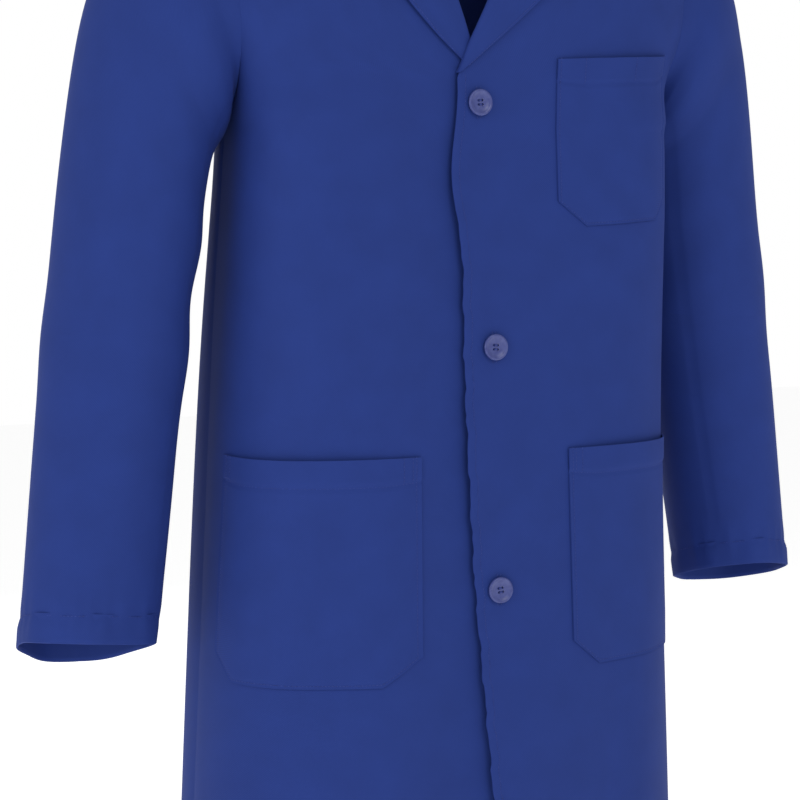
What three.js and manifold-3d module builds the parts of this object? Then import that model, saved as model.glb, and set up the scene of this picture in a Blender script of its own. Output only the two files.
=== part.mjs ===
// Lab coat in its worn shape, as cut-and-sewn panels of cloth with open hollows.
// The wearer faces -Y, +Z is up and the wearer's left is +X, in millimetres.
// The origin is the middle of the neck opening, which holds the coat up.
import * as THREE from 'three';
import { mergeVertices } from 'three/addons/utils/BufferGeometryUtils.js';
import Module from 'manifold-3d';

const wasm = await Module();
wasm.setup();

// Body: heights are measured from the neck, widths and depths from the coat's axis
const hemHeight = -1045;
const armpitHeight = -270;
const shoulderHeight = -72;
const neckHeight = -18;
const chestHalfWidth = 196;
const hemHalfWidth = chestHalfWidth + 40;
const shoulderHalfWidth = chestHalfWidth + 28;
const neckHalfWidth = 78;
const neckBackDepth = 62;
const backNeckRise = 35;
const frontChestDepth = 110;
const frontHemDepth = 154;
const backChestDepth = 92;
const backHemDepth = 134;
const armholeHalfDepth = 76;
const chestPower = 3.2; // squareness of the coat's section at the armpit
const hemPower = 2.4;
const chestRound = 190; // height over which the neck and shoulders round off to the chest
const armholeBlend = 80; // height over which the side seam's curve flattens above the armpit

// Cloth
const cloth = 1.6;
const facingCloth = 1.2;
const seamGap = 0.4;
const layerGap = 0.3;
const curvedGap = 1.6; // between layers that lie on the rounded shoulders and chest
const splitGap = 2;

// Front opening
const frontLap = 28; // each front runs this far past the centre line
const underSink = 4.4; // the right front lies this far under the left one
const sinkStart = 95; // distance from the centre where it starts to sink
const placketWidth = 62;
const facingWidth = 74;
const breakHeight = -226; // where the lapels start to roll
const underRollStart = 20 - frontLap; // the right front's roll line starts here, under the left front
const frontTopGap = 3;
const frontTopRun = 115; // from here to the side the swinging front's top edge is level
const hingeShare = 0.97; // the fronts swing from here, as a share of the half width

// Buttons
const buttonPlaces = [{ x: -10, z: -250 }, { x: 0, z: -452 }, { x: 0, z: -655 }];
const buttonRadius = 11;
const buttonThickness = 3.2;
const buttonRim = 2;
const buttonDish = 1.1;
const buttonHoleRadius = 1;
const buttonHoleSpacing = 3.4;
const buttonStand = 1.2;
const shankRadius = 1.4;
const slotLength = 25;
const slotWidth = 4.4;

// Lapels and collar
const lapelTip = { x: 125, z: -98 };
const gorgeHeight = -76;
const lapelBelly = 4;
const underLapelStart = 0.42; // the right lapel shows from this share of its roll line up
const collarStandBack = 34;
const collarCover = 16; // how far the fall's edge lies outside the neck seam at the back
const collarPoint = { x: 118, z: -62 };
const collarSpread = 122; // half width of the collar's outer edge where it crosses the shoulders
const collarBulge = 9;
const collarLift = cloth + 2 * curvedGap;
const standSpan = 0.93; // the stand ends before the fall does, as a share of the neck seam
const standTop = 0.9; // the stand reaches this share of the way up to the fold
const standInset = 2.4; // the stand lies this far inside the neck seam
const standRise = 1.2;
const foldEnd = 3; // height of the fold at the collar's ends

// Pockets: inner edge from the centre, opening height, width along the cloth, height
const hipPocket = { inner: 71, top: -540, width: 146, height: 188, corner: 24, stand: 14 };
const chestPocket = { inner: 63, top: -208, width: 112, height: 145, corner: 24, stand: 12 };
const pocketGap = 1.7;

// Sleeves: outer and inner edges of the hanging sleeve, from armhole to cuff
const cuffHeight = -690;
const elbowHeight = -430;
const elbowZone = 62; // half the height of the soft zone at the elbow
const cuffOuter = chestHalfWidth + 180;
const cuffInner = chestHalfWidth + 66;
const elbowOuter = chestHalfWidth + 152;
const elbowInner = chestHalfWidth + 33;
const capOuter = shoulderHalfWidth + 87;
const capHeight = -172;
const underarmStand = 12; // the sleeve stands this far off the side just below the armpit
const underarmDrop = 28;
const upperEnd = 0.6; // shares of the sleeve's length where its soft elbow starts and ends
const elbowEnd = 0.8;
const elbowSplit = 0.0008; // the same kind of share, for the gap between two lengths
const sleeveHalfDepth = 70;
const cuffHalfDepth = 60;
const cuffTilt = 0.31; // the cuff's back hangs lower than its front, as a slope
const upperForward = 7; // the upper arm hangs this far in front of the shoulder
const elbowBack = 10; // the elbow lies this far behind the upper arm
const cuffForward = 7; // the cuff lies this far in front of the elbow
const armholeGap = 0.8;

// Back
const ventHeight = -650;
const ventReach = 130; // where the vent's fold line meets the hem
const ventLap = 40;
const ventLapRise = cloth + layerGap;
const neckFacingDrop = 70;
const neckFacingGap = 4.5;
const neckFacingReach = 0.62 * neckHalfWidth;
const loopSpan = 60;
const loopEnd = 8; // length of each end that is sewn down
const loopSlant = 6; // over which the tape leaves the facing
const loopSink = 1.35; // the facing curves, so the tape keeps this many layers away
const loopStand = 5; // room for a hook behind the tape
const loopWidth = 7;
const loopTape = 1.5;
const loopHeight = -30;

const front = { sign: -1, top: frontChestDepth, hem: frontHemDepth, rise: 0 };
const back = { sign: 1, top: backChestDepth, hem: backHemDepth, rise: backNeckRise };

const lerp = (a, b, t) => a + (b - a) * t;
const clamp01 = (t) => Math.min(1, Math.max(0, t));
const smooth = (t) => clamp01(t) ** 2 * (3 - 2 * clamp01(t));
const quarterRound = (t) => Math.sqrt(1 - (1 - clamp01(t)) ** 2);

// Half width of the coat: the side seam below the armpit, the armhole's plane above it
function halfWidth(z) {
  if (z > armpitHeight) {
    const up = (z - armpitHeight) / (shoulderHeight - armpitHeight);
    return lerp(chestHalfWidth, shoulderHalfWidth, up);
  }
  return lerp(chestHalfWidth, hemHalfWidth, (armpitHeight - z) / (armpitHeight - hemHeight));
}

function sectionPower(z) {
  return lerp(chestPower, hemPower, clamp01((armpitHeight - z) / (armpitHeight - hemHeight)));
}

// Height of the shoulder seam at a distance from the centre
function ridgeHeight(face, x) {
  const run = shoulderHalfWidth - neckHalfWidth;
  const slope = (neckHeight - shoulderHeight) / run;
  const reach = Math.abs(x);
  const towardsNeck = 1 - Math.min(1, reach / neckHalfWidth) ** 2;
  const rounded = reach > neckHalfWidth ? reach : (neckHalfWidth + reach ** 2 / neckHalfWidth) / 2;
  return shoulderHeight + slope * (shoulderHalfWidth - rounded) + face.rise * towardsNeck;
}

function roundHeight(x) {
  const armholeRound = (shoulderHeight - armpitHeight) / 2;
  return lerp(chestRound, armholeRound, Math.min(1, Math.abs(x) / shoulderHalfWidth) ** 2);
}

function centreDepth(face, z) {
  return lerp(face.top, face.hem, clamp01((breakHeight - z) / (breakHeight - hemHeight)));
}

// Depth of the coat's section before the shoulders round it off
function sectionDepth(face, x, z) {
  const share = Math.min(1, Math.abs(x) / halfWidth(z));
  const armholeRound = (shoulderHeight - armpitHeight) / 2;
  const armholeSide = armholeHalfDepth * quarterRound((z - armpitHeight) / armholeRound);
  const power = lerp(1 / sectionPower(z), 1, smooth((z - armpitHeight) / armholeBlend));
  const fullness = Math.max(0, 1 - share ** sectionPower(z)) ** power;
  return armholeSide + (centreDepth(face, z) - armholeSide) * fullness;
}

// A point on the outside of the coat
function bodyPoint(face, x, z) {
  const shoulders = quarterRound((ridgeHeight(face, x) - z) / roundHeight(x));
  const depth = sectionDepth(face, x, z) * shoulders + seamGap / 2;
  return new THREE.Vector3(x, face.sign * depth, z);
}

// Place across the coat at an angle around it: 0 at the centre, a quarter turn at the side
function xAtTurn(turn, z) {
  const sine = Math.abs(Math.sin(turn));
  const share = lerp(sine, sine ** (2 / sectionPower(z)), sine ** 2);
  return Math.sign(turn) * halfWidth(z) * share;
}

function turnAt(x, z) {
  let low = 0;
  let high = Math.PI / 2;
  for (let pass = 0; pass < 30; pass++) {
    const middle = (low + high) / 2;
    if (xAtTurn(middle, z) < Math.abs(x)) low = middle;
    else high = middle;
  }
  return Math.sign(x) * high;
}

// Closed solid from a grid of outer points and the matching inner points
function closedShell(outer, inner, closedAcross) {
  const rows = outer.length;
  const columns = outer[0].length;
  const positions = [];
  for (const layer of [outer, inner]) {
    for (const row of layer) {
      for (const point of row) positions.push(point.x, point.y, point.z);
    }
  }
  const at = (layer, row, column) => (layer * rows + row) * columns + (column % columns);
  const index = [];
  const quad = (a, b, c, d) => index.push(a, b, c, a, c, d);
  const patch = (layer, row, column) => {
    const low = [at(layer, row, column), at(layer, row, column + 1)];
    return [...low, at(layer, row + 1, column + 1), at(layer, row + 1, column)];
  };
  const spans = closedAcross ? columns : columns - 1;
  for (let row = 0; row < rows - 1; row++) {
    for (let column = 0; column < spans; column++) {
      quad(...patch(0, row, column));
      quad(...patch(1, row, column).reverse());
    }
  }
  const last = rows - 1;
  for (let column = 0; column < spans; column++) {
    quad(at(0, 0, column + 1), at(0, 0, column), at(1, 0, column), at(1, 0, column + 1));
    quad(at(0, last, column), at(0, last, column + 1), at(1, last, column + 1), at(1, last, column));
  }
  if (!closedAcross) {
    const end = columns - 1;
    for (let row = 0; row < rows - 1; row++) {
      quad(at(0, row, 0), at(0, row + 1, 0), at(1, row + 1, 0), at(1, row, 0));
      quad(at(0, row + 1, end), at(0, row, end), at(1, row, end), at(1, row + 1, end));
    }
  }
  return facingOut(positions, index);
}

function facingOut(positions, index) {
  let volume = 0;
  const corner = (i) => new THREE.Vector3(...positions.slice(3 * i, 3 * i + 3));
  for (let i = 0; i < index.length; i += 3) {
    volume += corner(index[i]).dot(corner(index[i + 1]).cross(corner(index[i + 2])));
  }
  if (volume < 0) index.reverse();
  const geometry = new THREE.BufferGeometry();
  geometry.setAttribute('position', new THREE.Float32BufferAttribute(positions, 3));
  geometry.setIndex(index);
  geometry.computeVertexNormals();
  return geometry;
}

// Outward direction of a surface given by two shares, pointing away from the coat's axis
function outward(pointAt, a, b) {
  const step = 1e-4;
  const across = pointAt(Math.min(1, a + step), b).sub(pointAt(Math.max(0, a - step), b));
  const up = pointAt(a, Math.min(1, b + step)).sub(pointAt(a, Math.max(0, b - step)));
  const normal = across.cross(up).normalize();
  const point = pointAt(a, b);
  const away = new THREE.Vector3(point.x, point.y, 40);
  return normal.dot(away) < 0 ? normal.negate() : normal;
}

// A panel of cloth: its outer face lies "sunk" under the surface, its thickness goes inwards
function panel(columns, rows, pointAt, { thickness = cloth, sunk = 0 } = {}) {
  const outer = [];
  const inner = [];
  for (let row = 0; row <= rows; row++) {
    outer.push([]);
    inner.push([]);
    for (let column = 0; column <= columns; column++) {
      const a = column / columns;
      const b = row / rows;
      const point = pointAt(a, b);
      const normal = outward(pointAt, a, b);
      outer[row].push(point.clone().addScaledVector(normal, -sunk));
      inner[row].push(point.clone().addScaledVector(normal, -sunk - thickness));
    }
  }
  return closedShell(outer, inner, false);
}

function toManifold(geometry) {
  const bare = geometry.clone();
  bare.deleteAttribute('normal');
  bare.deleteAttribute('uv');
  const merged = mergeVertices(bare);
  const vertProperties = new Float32Array(merged.attributes.position.array);
  const triVerts = new Uint32Array(merged.index.array);
  return new wasm.Manifold(new wasm.Mesh({ numProp: 3, vertProperties, triVerts }));
}

function fromManifold(solid) {
  const { vertProperties, triVerts } = solid.getMesh();
  return facingOut(Array.from(vertProperties), Array.from(triVerts));
}

function cut(geometry, tools) {
  const pieces = tools.map(toManifold);
  return fromManifold(pieces.reduce((solid, tool) => solid.subtract(tool), toManifold(geometry)));
}

const navyBlue = 0x2a3c80;
const shadeBlue = 0x26306a;
const buttonViolet = 0x4c5696;
const coat = new THREE.Group();

function add(name, geometry, color = navyBlue, roughness = 0.85) {
  const material = new THREE.MeshStandardMaterial({ color, roughness, metalness: 0 });
  const mesh = new THREE.Mesh(geometry, material);
  mesh.name = name;
  coat.add(mesh);
}

// Fronts. The left one lies outside; the right one sinks under it near the centre.
function frontPoint(side, x, z) {
  const point = bodyPoint(front, x, z);
  if (side > 0) return point;
  const run = sinkStart - frontLap;
  point.y += underSink * smooth((x + sinkStart) / run);
  return point;
}

// The front edge: upright to the break, then the roll line up to the neck
function edgeX(side, z) {
  const up = clamp01((z - breakHeight) / (neckHeight - breakHeight));
  if (side < 0 && z > breakHeight) return lerp(underRollStart, -neckHalfWidth, up);
  return side * lerp(-frontLap, neckHalfWidth, up);
}

function frontTop(side, x) {
  const towardsSide = clamp01((side * x + frontLap) / (frontTopRun + frontLap));
  return lerp(breakHeight - frontTopGap, armpitHeight, towardsSide);
}

// Grid of a front strip between two turns of the coat, from the hem to its top edge
function frontStrip(side, startTurn, endTurn) {
  return (a, b) => {
    let top = armpitHeight;
    for (let pass = 0; pass < 8; pass++) {
      top = frontTop(side, xAtTurn(lerp(startTurn(top), endTurn(top), a), top));
    }
    const z = lerp(hemHeight, top, b);
    return frontPoint(side, xAtTurn(lerp(startTurn(z), endTurn(z), a), z), z);
  };
}

function upperFront(side) {
  return (a, b) => {
    let z = lerp(breakHeight, shoulderHeight, b);
    let x = 0;
    for (let pass = 0; pass < 12; pass++) {
      x = xAtTurn(lerp(turnAt(edgeX(side, z), z), side * Math.PI / 2, a), z);
      const rise = Math.sqrt((ridgeHeight(front, x) - frontTop(side, x) - layerGap) / roundHeight(x));
      z = ridgeHeight(front, x) - roundHeight(x) * (rise * (1 - b)) ** 2;
    }
    return frontPoint(side, x, z);
  };
}

function addFronts(side, name) {
  const edge = (z) => turnAt(edgeX(side, z), z);
  const placketEnd = (z) => turnAt(side * (placketWidth - frontLap), z);
  const placketNext = (z) => turnAt(side * (placketWidth - frontLap + layerGap), z);
  const facingEnd = (z) => turnAt(side * (facingWidth - frontLap), z);
  const hinge = (z) => turnAt(side * hingeShare * halfWidth(z), z);
  const pastHinge = (z) => turnAt(side * (hingeShare * halfWidth(z) + splitGap * 0.35), z);
  const seam = () => side * Math.PI / 2;
  const sunk = cloth + 2 * layerGap;
  const facingStrip = frontStrip(side, edge, facingEnd);
  const facing = panel(3, 8, facingStrip, { thickness: facingCloth, sunk });
  if (side > 0) {
    add(`${name}_front`, panel(8, 9, frontStrip(side, placketNext, hinge)));
    add(`${name}_front_placket`, withSlots(panel(3, 8, frontStrip(side, edge, placketEnd))));
    add(`${name}_front_facing`, withSlots(facing), shadeBlue);
  } else {
    add(`${name}_front`, panel(11, 9, frontStrip(side, edge, hinge)));
    add(`${name}_front_facing`, facing, shadeBlue);
  }
  add(`${name}_front_side`, panel(2, 6, frontStrip(side, pastHinge, seam)));
  add(`${name}_front_upper`, panel(9, 8, upperFront(side)));
}

// Upright buttonholes through the left front
function withSlots(geometry) {
  const slots = buttonPlaces.map(({ x, z }) => {
    const depth = 40;
    const slot = new THREE.BoxGeometry(slotWidth, depth, slotLength);
    return slot.translate(x, bodyPoint(front, x, z).y, z);
  });
  return cut(geometry, slots);
}

// Turned-up lapels, each lying just over its front, between the roll line and the outer edge
function lapel(side) {
  const start = side > 0 ? 0 : underLapelStart;
  const roll = (t) => {
    const z = lerp(breakHeight, gorgeHeight, t);
    return { x: edgeX(1, z), z };
  };
  return (a, along) => {
    const b = lerp(start, 1, along);
    const inner = roll(b);
    const bow = lapelBelly * Math.sin(Math.PI * b) * a;
    const x = lerp(inner.x, lerp(3 - frontLap, lapelTip.x, b), a) + bow;
    const z = lerp(inner.z, lerp(breakHeight + 3, lapelTip.z, b), a) - bow;
    return frontPoint(1, side * x, z);
  };
}

// How far the back's neck edge lies below the ridge, as a share of the rounding's height
function neckDip(x) {
  const share = Math.min(1, Math.abs(x) / neckHalfWidth);
  const depth = neckBackDepth * Math.sqrt(1 - share ** 2);
  const section = sectionDepth(back, x, shoulderHeight);
  return 1 - Math.sqrt(1 - (depth / section) ** 2);
}

// Backs: a centre seam, an armhole and shoulder edge, and the vent at the bottom
function backPanel(side, bottomOf) {
  const armpitRow = 0.45;
  const chestRow = 0.65;
  return (a, b) => {
    const armpitToChest = clamp01((b - armpitRow) / (chestRow - armpitRow)) ** 2;
    let z = breakHeight;
    let x = 0;
    for (let pass = 0; pass < 12; pass++) {
      x = xAtTurn(lerp(turnAt(side * seamGap / 2, z), side * Math.PI / 2, a), z);
      const low = Math.sqrt((ridgeHeight(back, x) - breakHeight) / roundHeight(x));
      const high = Math.sqrt(neckDip(x));
      const rise = lerp(low, high, (b - chestRow) / (1 - chestRow));
      if (b > chestRow) z = ridgeHeight(back, x) - roundHeight(x) * rise ** 2;
      else if (b > armpitRow) z = lerp(armpitHeight, breakHeight, armpitToChest);
      else z = lerp(bottomOf(x), armpitHeight, b / armpitRow);
    }
    return bodyPoint(back, x, z);
  };
}

// The left back's lower corner is cut off along the vent's fold line
function ventLine(z) {
  return ventReach * clamp01((ventHeight - z) / (ventHeight - hemHeight));
}

function leftBackBottom(x) {
  const fold = lerp(ventHeight, hemHeight, clamp01((x - splitGap) / ventReach));
  return x < ventReach + splitGap ? fold : hemHeight;
}

function ventFlap(a, b) {
  const z = lerp(hemHeight, ventHeight, b * 0.985);
  const x = lerp(-ventLap * (1 - b), ventLine(z) - splitGap, a);
  return bodyPoint(back, x, z);
}

function ventUnderlap(a, b) {
  const z = lerp(hemHeight, ventHeight, b);
  return bodyPoint(back, lerp(seamGap, ventLap, a) * (1 - 0.6 * b), z);
}

function addBacks() {
  const sunk = cloth + layerGap + 0.4;
  add('right_back', panel(10, 17, backPanel(-1, () => hemHeight)));
  add('left_back', panel(10, 17, backPanel(1, leftBackBottom)));
  add('back_vent_flap', panel(5, 8, ventFlap, { sunk: -ventLapRise }));
  add('back_vent_underlap', panel(3, 8, ventUnderlap, { sunk }));
  const neckFacing = panel(16, 3, neckFacingPoint, { thickness: facingCloth, sunk: cloth + neckFacingGap });
  add('back_neck_facing', neckFacing, shadeBlue);
}

// The facing follows the neck edge just below it and is deepest at the centre
function neckFacingPoint(a, b) {
  const turn = lerp(-1, 1, a) * Math.PI / 2;
  const x = neckFacingReach * Math.sin(turn) * lerp(1, 0.985, b);
  const edge = ridgeHeight(back, x) - roundHeight(x) * neckDip(x) - 1;
  return bodyPoint(back, x, edge - (1 - b) * (neckFacingDrop * Math.cos(turn) ** 0.5 + 2));
}

// Collar: a stand on the neck seam, and a fall folded over it, wider at the shoulders
function neckSeam(turn) {
  const side = Math.sign(turn) || 1;
  const share = Math.abs(turn);
  if (share <= 0.5) {
    const angle = share * Math.PI;
    const x = side * neckHalfWidth * Math.sin(angle);
    const z = ridgeHeight(back, x) - roundHeight(x) * neckDip(x);
    return bodyPoint(back, x, z);
  }
  const z = lerp(neckHeight, gorgeHeight, (share - 0.5) * 2);
  return frontPoint(1, side * edgeX(1, z), z);
}

// Highest point of the coat's outside over a place on the shoulders
function shoulderTop(x, y) {
  const face = y < 0 ? front : back;
  const section = sectionDepth(face, x, shoulderHeight);
  const share = Math.min(1, Math.abs(y) / section);
  return ridgeHeight(face, x) - roundHeight(x) * (1 - Math.sqrt(1 - share ** 2));
}

function foldLine(turn) {
  const seam = neckSeam(turn);
  const share = Math.abs(turn);
  const height = lerp(collarStandBack, foldEnd, smooth(share));
  const lean = lerp(0.12, 0, share);
  return new THREE.Vector3(seam.x * (1 - lean / 2), seam.y * (1 - lean), seam.z + height);
}

function collarEdge(turn) {
  const side = Math.sign(turn) || 1;
  const share = Math.abs(turn);
  const backY = neckBackDepth + collarCover;
  if (share <= 0.5) {
    const angle = share * Math.PI;
    const x = side * collarSpread * Math.sin(angle);
    const y = backY * Math.cos(angle);
    return new THREE.Vector3(x, y, shoulderTop(x, y));
  }
  const t = (share - 0.5) * 2;
  const x = lerp(collarSpread, collarPoint.x, t);
  const z = lerp(ridgeHeight(front, collarSpread), collarPoint.z, t ** 2);
  return bodyPoint(front, side * x, z);
}

function collarFall(a, b) {
  const turn = lerp(-1, 1, a);
  const fold = foldLine(turn);
  const edge = collarEdge(turn);
  const point = fold.clone().lerp(edge, b);
  point.z += collarBulge * Math.sin(Math.PI * b) * (1 - Math.abs(turn) / 2);
  const floor = shoulderTop(point.x, point.y) + collarLift;
  if (point.z < floor) point.z = floor;
  return point;
}

function collarStand(a, b) {
  const turn = lerp(-1, 1, a) * standSpan;
  const seam = neckSeam(turn);
  const fold = foldLine(turn);
  seam.z += standRise;
  const point = seam.lerp(fold, b * standTop);
  const shrink = 1 - standInset / Math.hypot(point.x, point.y);
  point.x *= shrink;
  point.y *= shrink;
  return point;
}

// Hanger loop: a narrow tape whose ends lie on the neck facing and whose middle stands off it
function hangerLoop() {
  const half = loopSpan / 2;
  const flat = half - loopEnd;
  const bridge = flat - loopSlant;
  const layers = cloth + neckFacingGap + facingCloth;
  const wall = bodyPoint(back, half, loopHeight + loopWidth).y;
  const y = wall - loopSink * layers - loopTape - 4 * layerGap;
  const shape = new THREE.Shape();
  shape.moveTo(-half, loopTape);
  shape.lineTo(-half, 0);
  shape.lineTo(-flat, 0);
  shape.lineTo(-bridge, -loopStand);
  shape.lineTo(bridge, -loopStand);
  shape.lineTo(flat, 0);
  shape.lineTo(half, 0);
  shape.lineTo(half, loopTape);
  shape.lineTo(flat, loopTape);
  shape.lineTo(bridge, loopTape - loopStand);
  shape.lineTo(-bridge, loopTape - loopStand);
  shape.lineTo(-flat, loopTape);
  const tape = new THREE.ExtrudeGeometry(shape, { depth: loopWidth, bevelEnabled: false });
  return tape.translate(0, y, loopHeight);
}

// Sleeves: rings between an outer and an inner edge, from the armhole to the cuff
function sleeveEdges() {
  const underarm = chestHalfWidth + underarmStand;
  const outer = new THREE.CatmullRomCurve3([
    new THREE.Vector3(shoulderHalfWidth, 0, shoulderHeight),
    new THREE.Vector3(lerp(shoulderHalfWidth, capOuter, 0.68), 0, lerp(shoulderHeight, capHeight, 0.36)),
    new THREE.Vector3(capOuter, 0, capHeight),
    new THREE.Vector3(lerp(capOuter, elbowOuter, 0.75), 0, elbowHeight + elbowZone),
    new THREE.Vector3(lerp(elbowOuter, cuffOuter, 0.22), 0, elbowHeight - elbowZone),
    new THREE.Vector3(cuffOuter, 0, cuffHeight),
  ]);
  const inner = new THREE.CatmullRomCurve3([
    new THREE.Vector3(chestHalfWidth, 0, armpitHeight),
    new THREE.Vector3(chestHalfWidth + 0.4 * underarmStand, 0, armpitHeight - 0.4 * underarmDrop),
    new THREE.Vector3(underarm, 0, armpitHeight - underarmDrop),
    new THREE.Vector3(lerp(underarm, elbowInner, 0.6), 0, elbowHeight + elbowZone),
    new THREE.Vector3(lerp(elbowInner, cuffInner, 0.3), 0, elbowHeight - elbowZone),
    new THREE.Vector3(cuffInner, 0, cuffHeight),
  ]);
  return { outer, inner };
}
const sleeveLine = sleeveEdges();

function sleeveRing(side, t, angle, shrink) {
  const outer = sleeveLine.outer.getPoint(t);
  const inner = sleeveLine.inner.getPoint(t);
  const middle = outer.clone().lerp(inner, 0.5);
  const half = outer.clone().sub(inner).multiplyScalar(0.5);
  const thin = 1 - shrink / half.length();
  const upperDepth = lerp(armholeHalfDepth, sleeveHalfDepth, smooth(t / upperEnd));
  const depth = lerp(upperDepth, cuffHalfDepth, smooth((t - upperEnd) / (1 - upperEnd)));
  const y = (depth - shrink) * Math.sin(angle);
  const slope = cuffTilt * smooth((t - elbowEnd) / (1 - elbowEnd));
  const sway = -upperForward * smooth(t / 0.2) + elbowBack * smooth((t - 0.2) / 0.4)
    - cuffForward * smooth((t - 0.65) / 0.35);
  const point = middle.addScaledVector(half, thin * Math.cos(angle));
  return new THREE.Vector3(side * (point.x + armholeGap), y + sway, point.z - slope * y);
}

function sleevePart(side, start, end, rings) {
  const around = 16;
  const outer = [];
  const inner = [];
  for (let ring = 0; ring <= rings; ring++) {
    const t = lerp(start, end, ring / rings);
    outer.push([]);
    inner.push([]);
    for (let i = 0; i < around; i++) {
      const angle = (2 * Math.PI * i) / around;
      outer[ring].push(sleeveRing(side, t, angle, 0));
      inner[ring].push(sleeveRing(side, t, angle, cloth));
    }
  }
  return closedShell(outer, inner, true);
}

function addSleeve(side, name) {
  add(`${name}_sleeve_upper`, sleevePart(side, 0, upperEnd, 8));
  add(`${name}_sleeve_elbow`, sleevePart(side, upperEnd + elbowSplit, elbowEnd - elbowSplit, 3));
  add(`${name}_sleeve_lower`, sleevePart(side, elbowEnd, 1, 3));
}

// Patch pockets: a pouch that stands off the front, closed at the sides and the bottom
function pocketPouch(side, pocket) {
  const columns = 7;
  const rows = 6;
  const outerX = (z) => {
    const step = 1;
    const limit = halfWidth(z) - step;
    let x = pocket.inner;
    let run = 0;
    while (run < pocket.width && x < limit) {
      run += bodyPoint(front, x, z).distanceTo(bodyPoint(front, x + step, z));
      x += step;
    }
    return x;
  };
  const middle = pocket.top - pocket.height / 2;
  const wide = outerX(middle);
  const place = (a, b, stand) => {
    const cornerRise = pocket.corner * Math.max(0, 1 - Math.min(a, 1 - a) / (pocket.corner / pocket.width));
    const low = pocket.top - pocket.height + cornerRise;
    const z = lerp(low, pocket.top, b);
    const startTurn = turnAt(pocket.inner, middle);
    const endTurn = turnAt(wide, middle);
    const x = xAtTurn(lerp(startTurn, endTurn, a), z);
    return frontPoint(side, side * x, z).addScaledVector(pocketNormal(side, side * x, z), stand);
  };
  const shell = closedShell(
    grid(columns, rows, (a, b) => place(a, b, pocket.stand)),
    grid(columns, rows, (a, b) => place(a, b, pocketGap)),
    false,
  );
  const sideShare = cloth / pocket.width;
  const floorShare = cloth / pocket.height;
  const within = (a, b, stand) => place(lerp(sideShare, 1 - sideShare, a), lerp(floorShare, 1.2, b), stand);
  const hollow = closedShell(
    grid(columns, rows, (a, b) => within(a, b, pocket.stand - cloth)),
    grid(columns, rows, (a, b) => within(a, b, -cloth)),
    false,
  );
  return cut(shell, [hollow]);
}

function pocketNormal(side, x, z) {
  const step = 0.01;
  const across = frontPoint(side, x + step, z).sub(frontPoint(side, x - step, z));
  const up = frontPoint(side, x, z + step).sub(frontPoint(side, x, z - step));
  return across.cross(up).normalize();
}

function grid(columns, rows, pointAt) {
  const points = [];
  for (let row = 0; row <= rows; row++) {
    points.push([]);
    for (let column = 0; column <= columns; column++) points[row].push(pointAt(column / columns, row / rows));
  }
  return points;
}

// Four-hole buttons on thread shanks, sewn to the right front and standing outside the left one
function button({ x: across, z: height }) {
  const face = bodyPoint(front, across, height);
  const profile = [
    new THREE.Vector2(0, 0),
    new THREE.Vector2(buttonRadius - 1, 0),
    new THREE.Vector2(buttonRadius, 1),
    new THREE.Vector2(buttonRadius, buttonThickness - 0.6),
    new THREE.Vector2(buttonRadius - 0.7, buttonThickness),
    new THREE.Vector2(buttonRadius - buttonRim, buttonThickness),
    new THREE.Vector2(buttonRadius - buttonRim - 1, buttonThickness - buttonDish),
    new THREE.Vector2(0, buttonThickness - buttonDish),
  ];
  const disc = new THREE.LatheGeometry(profile, 16);
  const half = buttonHoleSpacing / 2;
  const holes = [];
  for (const x of [-half, half]) {
    for (const z of [-half, half]) {
      const hole = new THREE.CylinderGeometry(buttonHoleRadius, buttonHoleRadius, 12, 6);
      holes.push(hole.translate(x, 0, z));
    }
  }
  const pierced = cut(disc, holes);
  pierced.rotateX(Math.PI);
  return pierced.translate(across, face.y - buttonStand, height);
}

function shank({ x, z }) {
  const outside = bodyPoint(front, x, z).y - buttonStand + layerGap;
  const inside = frontPoint(-1, x, z).y - layerGap;
  const thread = new THREE.CylinderGeometry(shankRadius, shankRadius, inside - outside, 8);
  return thread.translate(x, (inside + outside) / 2, z);
}

addBacks();
addFronts(1, 'left');
addFronts(-1, 'right');
for (const [side, name] of [[1, 'left'], [-1, 'right']]) {
  add(`${name}_lapel`, panel(5, 7, lapel(side), { sunk: -cloth - curvedGap }));
  addSleeve(side, name);
  add(`${name}_hip_pocket`, pocketPouch(side, hipPocket));
}
add('chest_pocket', pocketPouch(1, chestPocket));
add('collar_fall', panel(20, 3, collarFall));
add('collar_stand', panel(20, 1, collarStand, { thickness: facingCloth }), shadeBlue);
add('hanger_loop', hangerLoop(), shadeBlue);
buttonPlaces.forEach((place, i) => {
  add(`button_${i + 1}`, button(place), buttonViolet, 0.4);
  add(`button_thread_${i + 1}`, shank(place), shadeBlue);
});

export default coat;
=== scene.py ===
import bmesh
import bpy
import numpy as np
from math import cos, pi, radians, sin
from mathutils import Matrix, Vector


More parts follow.
